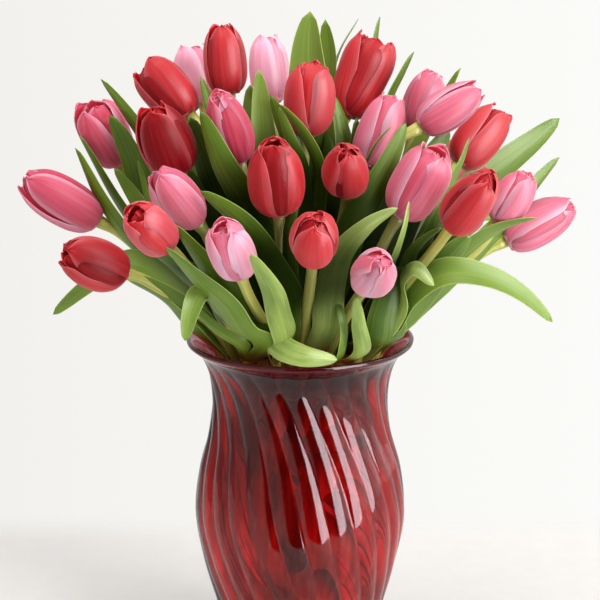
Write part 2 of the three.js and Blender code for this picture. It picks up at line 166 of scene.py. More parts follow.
# Tulips: where the bloom meets its stem, its tip, its width, its colour, how pale it is from -1 to 1,
# how far its first petal is turned from the front in degrees, and how open its top is.
TULIPS = [
    ((-118, 0, 286), (-159, -10, 314), 28, PINK, -0.6, 20, 0.10),
    ((-101, -40, 265), (-132, -62, 283), 30, RED, -0.25, 40, 0.05),
    ((-107, 25, 315), (-122, 16, 352), 28, PINK, -0.4, -20, 0.25),
    ((-65, 32, 342), (-91, 42, 371), 29, RED, -0.1, 30, 0.25),
    ((-69, -22, 319), (-84, -26, 358), 33, RED, -1.0, -10, 0.05),
    ((-58, 78, 340), (-67, 92, 373), 27, PINK, 1.0, -30, 0.25),
    ((-42, 36, 354), (-46, 44, 394), 26, RED, 0.0, 0, 0.12),
    ((-17, 62, 344), (-21, 76, 382), 25, PINK, 1.0, -25, 0.15),
    ((-35, -22, 326), (-46, -32, 367), 28, PINK, -0.65, 60, 0.05),
    ((-12, -58, 305), (-14, -72, 347), 32, RED, -0.35, 60, 0.10),
    ((-59, -48, 297), (-79, -68, 330), 27, PINK, 0.05, 15, 0.05),
    ((-74, -86, 293), (-89, -114, 317), 26, RED, 0.75, 50, 0.20),
    ((-33, -95, 279), (-42, -118, 311), 25, PINK, 0.65, 45, 0.20),
    ((4, 6, 336), (8, 4, 378), 29, RED, 0.45, 60, 0.15),
    ((27, 46, 339), (47, 58, 384), 30, RED, 0.0, 45, 0.35),
    ((38, 10, 317), (55, 14, 357), 26, PINK, 0.1, 50, 0.15),
    ((26, -44, 316), (25, -78, 344), 28, RED, -0.35, 32, 0.00),
    ((7, -92, 288), (8, -120, 314), 28, RED, 0.0, 0, 0.10),
    ((37, -84, 270), (43, -130, 294), 25, PINK, 0.5, 60, 0.00),
    ((57, -40, 299), (78, -50, 339), 31, PINK, 0.0, 35, 0.20),
    ((68, 52, 326), (80, 62, 363), 27, PINK, 0.1, 20, 0.15),
    ((70, 2, 341), (104, 4, 363), 24, PINK, -0.35, 0, 0.00),
    ((94, 36, 312), (121, 48, 341), 27, RED, 0.2, 40, 0.15),
    ((85, -66, 299), (103, -94, 334), 28, RED, 0.0, 10, 0.05),
    ((113, -28, 293), (129, -34, 321), 24, PINK, 0.1, 30, 0.10),
    ((121, 8, 272), (160, 10, 293), 27, PINK, 0.1, 60, 0.10),
    ((-72, 92, 290), (-90, 128, 314), 30, RED, 0.0, 15, 0.10),
    ((4, 118, 292), (2, 154, 320), 29, PINK, 0.2, 35, 0.15),
    ((84, 96, 280), (104, 128, 304), 30, RED, 0.0, 50, 0.10),
]

# Leaves: the tulip that each grows on, its full width, how far its outer face turns from the front in
# degrees towards the base and at the tip, how light its green is from -1 to 1 (partly the leaf's own green
# and partly painted light and shade, darkest for leaves deep in the bunch), then its blade's middle line.
LEAVES = [
    (1, 15, (-40, -50), 0.2, (-88, -4, 261), (-105, -6, 283), (-118, -4, 303), (-130, 0, 329)),
    (2, 19, (-110, -130), 0.1, (-78, -18, 253), (-99, -16, 264), (-122, -14, 250), (-144, -14, 233)),
    (3, 11, (-40, -50), 0.2, (-94, 6, 276), (-108, 6, 298), (-118, 6, 316), (-128, 6, 335)),
    (3, 14, (-20, -20), -0.3, (-87, -14, 284), (-93, -12, 297), (-100, -10, 308), (-107, -10, 319)),
    (4, 14, (-30, -40), 0.2, (-72, 12, 296), (-87, 10, 326), (-102, 8, 350), (-115, 8, 368)),
    (5, 21, (-10, -20), -0.4, (-77, -6, 285), (-91, -2, 305), (-100, 0, 328), (-110, 2, 348)),
    (5, 8, (-30, -40), -0.2, (-85, -22, 291), (-88, -20, 305), (-93, -16, 325)),
    (6, 12, (30, 30), -0.2, (-44, 30, 322), (-52, 26, 347), (-58, 24, 367)),
    (7, 18, (170, 160), -0.2, (-36, 52, 270), (-44, 66, 305), (-52, 66, 340)),
    (8, 19, (170, 170), 0.4, (-16, 8, 296), (-20, 12, 325), (-22, 14, 349), (-24, 16, 372)),
    (9, 22, (-20, -30), -0.2, (-22, -30, 276), (-31, -38, 304), (-44, -42, 328), (-56, -38, 358)),
    (10, 22, (-20, -40), 0.0, (-8, -60, 254), (-16, -66, 273), (-31, -70, 298), (-55, -74, 320)),
    (10, 18, (0, 0), -0.5, (-6, -50, 225), (-18, -60, 237), (-29, -66, 245), (-38, -68, 253)),
    (11, 18, (-20, -40), 0.1, (-38, -78, 259), (-47, -86, 274), (-59, -90, 291), (-69, -94, 306)),
    (11, 15, (-170, -180), 0.3, (-46, -56, 244), (-51, -70, 258), (-57, -81, 262), (-61, -86, 253),
     (-64, -84, 237)),
    (12, 19, (-30, -50), 0.3, (-18, -60, 226), (-32, -74, 239), (-41, -84, 256), (-55, -94, 273),
     (-74, -104, 296)),
    (13, 14, (30, -20), 0.6, (-8, -66, 232), (-11, -84, 250), (-15, -106, 271), (-26, -130, 298)),
    (13, 15, (0, -20), 1.0, (-18, -58, 231), (-9, -70, 228), (3, -74, 225), (21, -70, 222)),
    (14, 14, (-30, -50), -0.2, (9, -26, 301), (10, -26, 322), (2, -22, 341), (-11, -18, 358)),
    (14, 34, (170, 160), 0.3, (7, 20, 330), (6, 24, 359), (5, 26, 382), (6, 24, 405)),
    (15, 16, (40, 50), 0.0, (31, 14, 301), (29, 20, 324), (25, 24, 341), (21, 26, 354)),
    (16, 8, (60, 70), 0.1, (33, -12, 301), (38, -14, 322), (44, -14, 335), (52, -12, 344)),
    (17, 19, (10, 20), -0.2, (31, -42, 293), (44, -36, 315), (54, -30, 334), (60, -26, 349)),
    (10, 11, (-20, -30), -0.1, (-6, -50, 229), (-5, -60, 253), (-6, -65, 277), (-6, -64, 298),
     (-1, -60, 313)),
    (18, 17, (10, 30), 0.9, (15, -58, 236), (17, -66, 258), (23, -72, 283), (37, -76, 300), (54, -76, 311)),
    (19, 10, (20, 10), 0.7, (35, -60, 222), (33, -76, 244), (31, -88, 263)),
    (20, 10, (50, 60), 0.9, (52, -56, 272), (56, -70, 288), (59, -76, 303), (60, -78, 315)),
    (20, 25, (20, 10), -0.5, (48, -46, 226), (50, -52, 242), (53, -54, 258), (58, -54, 272)),
    (21, 17, (70, 60), -0.3, (51, 34, 327), (54, 34, 351), (61, 36, 366), (67, 38, 379)),
    (21, 12, (30, 40), -0.1, (60, -40, 265), (64, -46, 278), (72, -50, 288), (80, -52, 294)),
    (22, 15, (120, 120), 0.1, (58, 14, 300), (82, 30, 346), (94, 28, 371)),
    (23, 25, (20, 10), -0.15, (108, 52, 296), (128, 60, 310), (143, 66, 321), (157, 70, 333)),
    (23, 18, (130, 140), 0.0, (84, 60, 262), (112, 84, 272), (134, 96, 258)),
    (24, 22, (20, 20), 0.1, (72, -34, 253), (80, -38, 266), (88, -42, 278), (96, -46, 288)),
    (24, 14, (0, -20), 0.8, (57, -52, 250), (57, -62, 268), (64, -68, 275), (75, -70, 265)),
    (25, 12, (50, 60), 0.2, (84, -8, 297), (90, -4, 312), (95, 0, 323), (98, 2, 335)),
    (25, 16, (20, 30), 0.1, (123, 2, 289), (135, 4, 304), (142, 6, 312), (151, 8, 322)),
    (26, 20, (40, 60), 0.3, (76, -24, 252), (95, -28, 272), (113, -34, 288), (134, -40, 297)),
    (26, 19, (130, 130), -0.2, (58, -40, 239), (65, -48, 255), (82, -54, 268), (104, -54, 266),
     (124, -52, 256), (144, -48, 238)),
    (27, 19, (-150, -130), 0.0, (-62, 84, 262), (-88, 100, 286), (-112, 112, 296)),
    (27, 18, (0, 0), 0.1, (-44, 90, 258), (-52, 118, 268), (-60, 140, 252)),
    (28, 20, (180, 170), 0.1, (-4, 86, 262), (-14, 112, 290), (-20, 126, 322)),
    (28, 22, (150, 150), 0.1, (11, 64, 327), (14, 58, 353), (17, 54, 374), (15, 52, 396)),
    (28, 8, (90, 90), 0.1, (19, 66, 339), (23, 70, 371), (35, 74, 393)),
    (29, 17, (70, 70), -0.2, (43, 66, 339), (45, 72, 368), (48, 76, 394)),
    (29, 18, (0, 0), 0.1, (36, 88, 262), (44, 118, 276), (50, 142, 262)),
    (1, 24, (-50, -50), -0.4, (-62, 6, 252), (-84, 14, 272), (-100, 20, 284)),
    (6, 24, (-150, -150), -0.4, (-50, 40, 262), (-64, 56, 292), (-76, 62, 318)),
    (8, 24, (175, 170), -0.4, (-10, 52, 268), (-16, 72, 300), (-20, 84, 326)),
    (9, 25, (-10, -10), -0.4, (-40, -10, 262), (-58, -8, 290), (-66, -4, 318)),
    (12, 22, (-30, -40), -0.4, (-46, -50, 252), (-66, -58, 270), (-84, -62, 284)),
    (15, 24, (160, 160), -0.4, (34, 40, 268), (42, 50, 300), (44, 52, 326)),
    (16, 24, (10, 10), -0.4, (24, -6, 262), (30, 2, 292), (34, 4, 312)),
    (17, 22, (0, 0), -0.5, (12, -24, 262), (18, -20, 290), (22, -18, 314)),
    (22, 24, (20, 20), -0.4, (52, -4, 262), (64, 4, 290), (76, 8, 318), (87, 12, 338)),
    (25, 24, (40, 40), -0.4, (70, -12, 258), (90, -12, 276), (106, -8, 286)),
    (20, 12, (80, 60), -0.1, (25, -60, 224), (26, -66, 238), (24, -64, 248), (20, -58, 257)),
    (2, 20, (-40, -40), -0.1, (-58, -20, 227), (-70, -26, 241), (-85, -30, 253), (-100, -34, 261)),
    (5, 20, (-30, -30), -0.5, (-18, -58, 230), (-27, -62, 237), (-34, -60, 247), (-39, -52, 254)),
    (12, 8, (-30, -30), 0.1, (-34, -56, 227), (-44, -58, 234), (-54, -56, 242), (-62, -50, 251)),
    (5, 25, (-20, -20), -0.8, (-50, -8, 240), (-64, -4, 275), (-72, 0, 300)),
    (7, 25, (0, 0), -0.8, (-28, 10, 245), (-36, 16, 285), (-42, 20, 312)),
    (14, 25, (0, 0), -0.9, (-4, -6, 250), (-12, -4, 285), (-14, 0, 312)),
    (16, 25, (0, 0), -0.8, (8, 8, 250), (12, 14, 290), (14, 18, 320)),
    (20, 25, (10, 10), -0.8, (30, -14, 250), (42, -12, 285), (46, -8, 310)),
    (22, 25, (20, 20), -0.8, (46, 14, 250), (66, 24, 285), (80, 30, 305)),
    (3, 24, (-30, -30), -0.7, (-60, 14, 250), (-82, 20, 272), (-96, 24, 290)),
    (26, 24, (30, 30), -0.7, (62, 10, 248), (86, 16, 270), (104, 18, 284)),
    (8, 20, (170, 170), -0.4, (-29, 55, 317), (-29, 60, 337), (-30, 62, 355)),
    (9, 24, (-10, -20), -0.6, (-44, -8, 291), (-51, -8, 313), (-58, -6, 332), (-63, -4, 348)),
    (14, 14, (10, 10), -0.5, (18, 10, 320), (19, 16, 337), (18, 18, 350)),
    (16, 14, (20, 20), -0.5, (30, 5, 312), (33, 12, 328), (33, 14, 344)),
    (14, 16, (-10, -20), 0.0, (-5, 0, 328), (-12, 4, 346), (-17, 6, 359)),
    (10, 13, (-20, -30), -0.2, (0, -20, 320), (-6, -20, 338), (-12, -16, 356)),
]

# ---------- curves ----------


def unit(v):
    return v / np.linalg.norm(v, axis=-1, keepdims=True)


def look_up(table, x):
    return np.interp(x, [row[0] for row in table], [row[1] for row in table])


def ease(x, low, high):
    """0 below low, 1 above high, and smooth between."""
    t = np.clip((x - low) / (high - low), 0, 1)
    return t * t * (3 - 2 * t)


def smooth_line(through, steps=24):
    """A fine polyline on the centripetal Catmull-Rom curve through some points."""
    p = np.asarray(through, float)
    p = np.vstack([2 * p[0] - p[1], p, 2 * p[-1] - p[-2]])
    t = np.linspace(0, 1, steps, endpoint=False)[:, None]
    spans = []
    for p0, p1, p2, p3 in zip(p, p[1:], p[2:], p[3:]):
        d0, d1, d2 = (np.linalg.norm(b - a) ** 0.5 for a, b in ((p0, p1), (p1, p2), (p2, p3)))
        m1 = d1 * ((p1 - p0) / d0 - (p2 - p0) / (d0 + d1) + (p2 - p1) / d1)
        m2 = d1 * ((p2 - p1) / d1 - (p3 - p1) / (d1 + d2) + (p3 - p2) / d2)
        square = 3 * (p2 - p1) - 2 * m1 - m2
        cube = 2 * (p1 - p2) + m1 + m2
        spans.append(p1 + m1 * t + square * t**2 + cube * t**3)
    return np.vstack([*spans, p[-2]])


def evenly(line, count):
    """Points spaced evenly along a polyline, and the unit tangents there."""
    run = np.concatenate([[0], np.cumsum(np.linalg.norm(np.diff(line, axis=0), axis=1))])
    at = np.linspace(0, run[-1], count)
    points = np.stack([np.interp(at, run, column) for column in line.T], 1)
    return points, unit(np.gradient(points, axis=0))


def smooth_table(table, x):
    """The value at x of a table of rows, on a smooth curve through them."""
    line = smooth_line(table)
    return np.interp(x, line[:, 0], line[:, 1])


# ---------- meshes ----------


def quads(a, b, c, d):
    return np.stack([a.ravel(), b.ravel(), c.ravel(), d.ravel()], 1)


def sheet(outer, inner):
    """Vertices and faces of the closed skin between a thin sheet's two faces, each rows by columns."""
    rows, columns = outer.shape[:2]
    top, under = np.arange(2 * rows * columns).reshape(2, rows, columns)
    rim, rim_under = (
        np.concatenate([side[0], side[1:, -1], side[-1, -2::-1], side[-2:0:-1, 0]])
        for side in (top, under)
    )
    faces = [
        quads(top[:-1, :-1], top[:-1, 1:], top[1:, 1:], top[1:, :-1]),
        quads(under[:-1, :-1], under[1:, :-1], under[1:, 1:], under[:-1, 1:]),
        quads(rim, rim_under, np.roll(rim_under, -1), np.roll(rim, -1)),
    ]
    return np.concatenate([outer.reshape(-1, 3), inner.reshape(-1, 3)]), np.concatenate(faces)


def grid_normals(grid):
    """The unit normals of a grid of points, on the side that its columns and then its rows turn to."""
    return unit(np.cross(np.gradient(grid, axis=1), np.gradient(grid, axis=0)))


def painted_shade(points):
    """How much painted shade each point gets by its depth inside the bunch: 0 at its outside and 1 where no
    light comes.
    """
    from_middle = np.linalg.norm(points - DOME_MIDDLE, axis=1)
    from_axis = np.hypot(points[:, 0], points[:, 1])
    under_dome = DOME_RADIUS - from_middle - DOME_SKIN
    behind_sides = look_up(BUNCH_SIDES, points[:, 2]) - from_axis
    return ease(np.minimum(under_dome, behind_sides), *PAINTED_SHADE_DEPTH)


def piece(name, vertices, faces, material, place=None, tone=0.0):
    """A smooth mesh in metres, with its own surface coordinates in the attribute place."""
    mesh = bpy.data.meshes.new(name)
    mesh.from_pydata((vertices * MM).tolist(), [], [list(face) for face in faces])
    if place is not None:
        mesh.attributes.new("place", "FLOAT_VECTOR", "POINT").data.foreach_set("vector", place.ravel())
        tones = np.broadcast_to(tone, len(vertices)).astype(float)
        mesh.attributes.new("tone", "FLOAT", "POINT").data.foreach_set("value", tones)
        # painted shade by depth inside the bunch
        mesh.attributes.new("painted_shade", "FLOAT", "POINT").data.foreach_set("value", painted_shade(vertices))
    mesh.polygons.foreach_set("use_smooth", np.ones(len(mesh.polygons), bool))
    mesh.materials.append(material)
    mesh.update()
    made = bpy.data.objects.new(name, mesh)
    bpy.context.scene.collection.objects.link(made)
    return made


# ---------- material nodes ----------


class Nodes:
    """Short calls for the nodes of one material or world."""

    def __init__(self, owner):
        self.owner = owner
        owner.use_nodes = True
        self.tree = owner.node_tree
        self.tree.nodes.clear()

    def node(self, kind, inputs=(), **settings):
        made = self.tree.nodes.new(kind)
        for key, value in settings.items():
            setattr(made, key, value)
        for key, value in dict(inputs).items():
            if isinstance(value, bpy.types.NodeSocket):
                self.tree.links.new(value, made.inputs[key])
            else:
                made.inputs[key].default_value = value
        return made

    def math(self, operation, a, b=0.0):
        return self.node("ShaderNodeMath", {0: a, 1: b}, operation=operation).outputs[0]

    def plus(self, a, b):
        return self.math("ADD", a, b)

    def times(self, a, b):
        return self.math("MULTIPLY", a, b)

    def ramp(self, value, low, high, to_low=0.0, to_high=1.0):
        """A straight change from to_low to to_high as value goes from low to high."""
        inputs = {0: value, 1: low, 2: high, 3: to_low, 4: to_high}
        return self.node("ShaderNodeMapRange", inputs).outputs[0]

    def between(self, value, low, high, to_low=0.0, to_high=1.0):
        """A smooth change from to_low to to_high as value goes from low to high."""
        inputs = {0: value, 1: low, 2: high, 3: to_low, 4: to_high}
        return self.node("ShaderNodeMapRange", inputs, interpolation_type="SMOOTHSTEP").outputs[0]

    def over(self, value, stretch, to_low=0.0, to_high=1.0):
        """A smooth change over a stretch that is given in millimetres."""
        low, high = stretch
        return self.between(value, low * MM, high * MM, to_low, to_high)

    def mix(self, share, a, b):
        return self.node("ShaderNodeMix", {0: share, 6: a, 7: b}, data_type="RGBA").outputs[2]

    def noise(self, vector, scale=1.0, detail=2.0):
        inputs = {"Vector": vector, "Scale": scale, "Detail": detail}
        return self.node("ShaderNodeTexNoise", inputs).outputs["Fac"]

    def stretched(self, x, y, z, by, scale=1.0, detail=2.0):
        """Noise over three coordinates, each first multiplied by its own share of by."""
        parts = [part if share == 1 else self.times(part, share) for part, share in zip((x, y, z), by)]
        vector = self.node("ShaderNodeCombineXYZ", dict(enumerate(parts))).outputs[0]
        return self.noise(vector, scale, detail)

    def attribute(self, name):
        return self.node("ShaderNodeAttribute", attribute_name=name)

    def place(self):
        """The surface coordinates: across from -1 to 1, along from 0 to 1, and which face."""
        split = self.node("ShaderNodeSeparateXYZ", {0: self.attribute("place").outputs["Vector"]})
        return split.outputs

    def tone(self):
        return self.attribute("tone").outputs["Fac"]

    # painted shade deep in the bunch, as the mesh stores it
    def painted_shade(self):
        return self.attribute("painted_shade").outputs["Fac"]

    def spot(self):
        """The place in the object, in metres, as three sockets."""
        place = self.node("ShaderNodeTexCoord").outputs["Object"]
        return self.node("ShaderNodeSeparateXYZ", {0: place}).outputs

    def bump(self, height, strength, depth):
        inputs = {"Height": height, "Strength": strength, "Distance": depth * MM}
        return self.node("ShaderNodeBump", inputs).outputs[0]

    def surface(self, **inputs):
        named = {key.replace("_", " "): value for key, value in inputs.items()}
        shader = self.node("ShaderNodeBsdfPrincipled", named)
        out = self.node("ShaderNodeOutputMaterial", {"Surface": shader.outputs[0]})
        return out


def colour(red, green, blue):
    """A linear colour from sRGB parts out of 255."""
    parts = []
    for part in (red, green, blue):
        c = part / 255
        parts.append(c / 12.92 if c <= 0.04045 else ((c + 0.055) / 1.055) ** 2.4)
    return (*parts, 1.0)


# ---------- materials ----------


def petal_material(name, deep, main, pale, edge, flush):
    """Satin petals: lengthwise veins, a paler edge, a yellow-green base, and a painted glow inside the cup
    and on the palest petals.
    """
    n = Nodes(bpy.data.materials.new(name))
    across, along, face = n.place()
    tone = n.tone()
    veins = n.stretched(across, along, tone, (11, 1.3, 1), detail=3.0)
    fine = n.stretched(across, along, tone, (42, 2.4, 1))
    patches = n.stretched(across, along, tone, (1, 2, 7), 1.3)
    side = n.math("ABSOLUTE", across)
    body = n.mix(n.between(tone, -1.0, 0.0), deep, main)
    body = n.mix(n.between(tone, 0.0, 1.0), body, pale)
    streaks = n.times(n.between(veins, 0.45, 0.72, 0.0, 0.3), n.between(tone, -1.0, 0.1, 0.3, 1.0))
    body = n.mix(streaks, body, pale)
    body = n.mix(n.between(veins, 0.28, 0.48, 0.18, 0.0), body, deep)
    body = n.mix(n.between(fine, 0.35, 0.65, 0.16, 0.0), body, deep)
    body = n.mix(n.between(patches, 0.3, 0.7, 0.25, 0.0), body, deep)
    body = n.mix(n.between(side, 0.55, 1.0, 0.0, 0.4), body, edge)
    body = n.mix(n.between(side, 0.93, 1.0, 0.0, 0.4), body, edge)
    body = n.mix(n.between(along, 0.8, 1.0, 0.0, 0.35), body, main)
    body = n.mix(n.between(along, 0.02, 0.17, 0.9, 0.0), body, flush)
    body = n.mix(n.times(face, 0.5), body, main)
    height = n.plus(n.times(veins, 0.7), n.times(fine, 0.3))
    rough = n.between(veins, 0.3, 0.7, 0.4, 0.54)
    n.surface(
        Base_Color=body,
        Roughness=rough,
        Normal=n.bump(height, 0.35, 0.4),
        Specular_IOR_Level=n.between(tone, -1.0, 0.1, 0.1, 0.32),
        Subsurface_Weight=0.55,
        Subsurface_Radius=(1.0, 0.32, 0.28),
        Subsurface_Scale=3.2 * MM,
        Sheen_Weight=n.between(tone, -1.0, 0.1, 0.04, 0.14),
        Sheen_Roughness=0.4,
        Sheen_Tint=(1.0, 0.86, 0.92, 1.0),
        # painted glow: the petals emit their deep colour inside the cup, and the palest petals on their outer
        # faces too
        Emission_Color=deep,
        Emission_Strength=n.plus(n.times(face, PETAL_GLOW), n.between(tone, 0.6, 1.0, 0.0, PALE_GLOW)),
    )
    return n.owner


def leaf_material():
    """Waxy blades: parallel veins, a thin pale edge, paler inside than out, painted light and shade by each
    leaf's tone, and painted shade deep in the bunch.
    """
    n = Nodes(bpy.data.materials.new("leaf_blade"))
    across, along, face = n.place()
    tone = n.tone()
    veins = n.stretched(across, along, tone, (9, 0.9, 1), detail=3.0)
    fine = n.stretched(across, along, tone, (34, 1.3, 1))
    clouds = n.stretched(across, along, tone, (1, 3, 5), 1.1)
    side = n.math("ABSOLUTE", across)
    # the leaf's green from its tone: partly its own colour, partly painted light and shade
    body = n.mix(n.between(tone, -1.0, 0.0), colour(34, 64, 8), colour(96, 130, 20))
    body = n.mix(n.between(tone, 0.0, 1.0), body, colour(180, 204, 112))
    lit = n.between(tone, -1.0, 0.1, 0.2, 1.0)
    streaks = n.times(n.between(veins, 0.42, 0.7, 0.0, 0.45), lit)
    body = n.mix(streaks, body, colour(150, 170, 50))
    body = n.mix(n.between(fine, 0.35, 0.65, 0.35, 0.0), body, colour(48, 84, 18))
    body = n.mix(n.between(clouds, 0.3, 0.62, 0.4, 0.0), body, colour(50, 92, 22))
    body = n.mix(n.times(face, 0.4), body, colour(146, 176, 76))
    body = n.mix(n.times(n.between(side, 0.94, 0.99, 0.0, 0.5), lit), body, colour(196, 214, 128))
    body = n.mix(n.times(n.between(side, 0.0, 0.06, 0.22, 0.0), lit), body, colour(176, 198, 100))
    # painted shade: leaves deep in the bunch are darkened towards near black
    body = n.mix(n.times(n.painted_shade(), 0.9), body, colour(14, 24, 5))
    height = n.plus(n.times(veins, 0.5), n.times(fine, 0.5))
    n.surface(
        Base_Color=body,
        Roughness=n.between(clouds, 0.3, 0.7, 0.36, 0.48),
        Normal=n.bump(height, 0.35, 0.3),
        # the painted shade also dulls the leaves' highlights deep in the bunch
        Specular_IOR_Level=n.between(n.painted_shade(), 0.0, 1.0, 0.3, 0.02),
        Subsurface_Weight=0.2,
        Subsurface_Radius=(0.8, 1.0, 0.2),
        Subsurface_Scale=2.0 * MM,
    )
    return n.owner


def stem_material():
    """Fresh yellow-green stems, tanned towards the bloom, with faint lengthwise streaks, and painted shade
    deep in the bunch.
    """
    n = Nodes(bpy.data.materials.new("stem_skin"))
    across, along, _ = n.place()
    tone = n.tone()
    streaks = n.stretched(across, along, tone, (9, 5, 1), detail=3.0)
    blush = n.stretched(across, along, tone, (1, 4, 1), 2.0)
    body = n.mix(n.between(streaks, 0.35, 0.65), colour(148, 166, 54), colour(204, 208, 110))
    body = n.mix(n.between(along, 0.6, 0.95, 0.0, 0.35), body, colour(196, 186, 104))
    body = n.mix(n.between(blush, 0.5, 0.75, 0.0, 0.2), body, colour(184, 146, 78))
    # painted shade: stems deep in the bunch are darkened
    body = n.mix(n.times(n.painted_shade(), 0.55), body, colour(26, 30, 8))
    body = n.mix(n.over(n.spot()[2], STEMS_PALE, 0.85, 0.0), body, colour(226, 205, 170))
    n.surface(
        Base_Color=body,
        Roughness=n.between(streaks, 0.3, 0.7, 0.38, 0.5),
        Normal=n.bump(streaks, 0.25, 0.3),
        Specular_IOR_Level=0.4,
        Subsurface_Weight=0.2,
        Subsurface_Radius=(0.8, 1.0, 0.3),
        Subsurface_Scale=2.0 * MM,
    )
    return n.owner


def glass_material():
    """Deep ruby glass, flashed unevenly in upright clouds, with painted shade on its left, deepened towards
    the thick rim partly as painted shade, darkest with painted shade on the flare's inner face, and a painted
    glow on the lip.
    """
    n = Nodes(bpy.data.materials.new("ruby_glass"))
    x, y, z = n.spot()
    rim = n.over(z, RIM_DEEPENS)
    radius = n.math("SQRT", n.plus(n.times(x, x), n.times(y, y)))
    under_flare = n.math("SUBTRACT", radius, n.times(z, FLARE_SLOPE))
    # painted shade on the flare's inner face: it is darkened and dulled
    inside = n.times(n.over(under_flare, FLARE_MIDDLE, 1.0, 0.0), rim)
    clouds = n.stretched(x, y, z, (44, 44, 8))
    flecks = n.stretched(x, y, z, (130, 130, 26), detail=1.0)
    # the clouds, plus painted shade that darkens the glass on its left
    wine = n.plus(n.between(clouds, 0.4, 0.6, 0.0, 0.85), n.over(x, PAINTED_SHADE_ACROSS, 0.35, -0.1))
    wine = n.plus(wine, n.over(z, WINE_GATHERS, -0.1, 0.2))
    wine = n.plus(wine, n.over(z, WINE_CLEARS, -0.4, 0.0))
    wine = n.plus(wine, n.between(flecks, 0.46, 0.62, -0.25, 0.5))
    tint = n.mix(wine, (0.98, 0.56, 0.62, 1.0), (0.42, 0.18, 0.25, 1.0))
    # less gloss on the inner face that has painted shade
    gloss = n.between(inside, 0.0, 1.0, 1.0, 0.3)
    out = n.surface(
        # painted shade: deeper towards the rim, and darkest on the flare's inner face
        Base_Color=n.mix(inside, n.mix(rim, tint, (0.4, 0.07, 0.11, 1.0)), (0.16, 0.02, 0.035, 1.0)),
        Roughness=0.03,
        IOR=1.42,
        Transmission_Weight=1.0,
        Specular_IOR_Level=n.times(n.over(z, RIM_DULLS, 0.95, 0.5), gloss),
        # painted glow: the lip emits a deep red
        Emission_Color=(0.30, 0.012, 0.03, 1.0),
        Emission_Strength=n.over(z, LIP_GLOWS, 0.0, 0.1),
    )
    depth = n.node("ShaderNodeVolumeAbsorption", {"Color": (0.9, 0.04, 0.06, 1.0), "Density": 425.0})
    n.tree.links.new(depth.outputs[0], out.inputs["Volume"])
    return n.owner


# ---------- vase ----------


def vase():
    """A lathed wall with its ribs drawn along the swirl, from the underside to the lip and back inside."""
    outer = smooth_line([(r, z) for z, r in OUTER_WALL + LIP])
    inner = smooth_line([(r, z) for z, r in INNER_WALL])
    outer, _ = evenly(outer, 124)
    inner, _ = evenly(inner, 46)
    under = [(0.4, 0), (12, 0), (24, 0), (FOOT_RADIUS, 0)]
    bottom = [(26, FLOOR_HEIGHT), (13, FLOOR_HEIGHT), (0.4, FLOOR_HEIGHT)]
    profile = np.vstack([under, outer, inner, bottom])
    radius, height = profile.T
    is_outer = (np.arange(len(profile)) >= len(under)) & (np.arange(len(profile)) < len(under) + len(outer))
    rise = ease(height, *RIB_RISE) * (1 - ease(height, *RIB_FADE)) * is_outer
    sides = np.arange(RIBS * SIDES_PER_RIB)
    from_ridge = (sides / SIDES_PER_RIB + 0.5) % 1 * 2 - 1
    bulge = 1 - 2 * from_ridge**2
    r = radius[:, None] + RIB_HEIGHT * rise[:, None] * bulge
    turn = np.radians(smooth_table(SWIRL, height))[:, None]
    angle = 2 * math.pi * sides / len(sides) + turn
    points = np.stack([r * np.cos(angle), r * np.sin(angle), height[:, None] + 0 * angle], -1)
    index = np.arange(points.shape[0] * points.shape[1]).reshape(points.shape[:2])
    after = np.roll(index, -1, axis=1)
    faces = quads(index[:-1], after[:-1], after[1:], index[1:]).tolist()
    faces.append(index[0][::-1].tolist())
    faces.append(index[-1].tolist())
    made = piece("vase_glass", points.reshape(-1, 3), faces, glass_material())
    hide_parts("vase")
    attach(made, BODY)


# ---------- stems ----------


def neck_places():
    """Where each stem passes the neck: its bloom's place in plan, drawn in, then pushed apart."""
    places = [np.array(row[0][:2], float) * DRAW_IN for row in TULIPS]
    gap, gap_radius = np.array(POURING_GAP[0], float), POURING_GAP[1]

    def push(a, b, spacing, share):
        away = a - b
        distance = np.linalg.norm(away)
        return away / distance * (spacing - distance) * share if distance < spacing else 0 * away

    for _ in range(NECK_ROUNDS):
        for i, place in enumerate(places):
            for j in range(i + 1, len(places)):
                shift = push(place, places[j], NECK_SPACING, 0.5)
                place += shift
                places[j] -= shift
            place += push(place, gap, gap_radius, 1)
            place *= min(1, NECK_RADIUS / max(np.linalg.norm(place), 1e-9))
    return places


def stem_line(base, tip, neck):
    """A stem's middle line from its cut end to its bloom."""
    base, tip = np.array(base, float), np.array(tip, float)
    cos, sin = math.cos(FOOT_TURN), math.sin(FOOT_TURN)
    foot = np.array([neck[0] * cos - neck[1] * sin, neck[0] * sin + neck[1] * cos]) * FOOT_DRAW
    axis = unit(tip - base)
    return smooth_line(
        [
            (*foot, FOOT_HEIGHT),
            (*neck, NECK_HEIGHT),
            (*(neck * MOUTH_SPREAD), MOUTH_HEIGHT),
            base - axis * BLOOM_LEAD,
            base,
        ]
    )


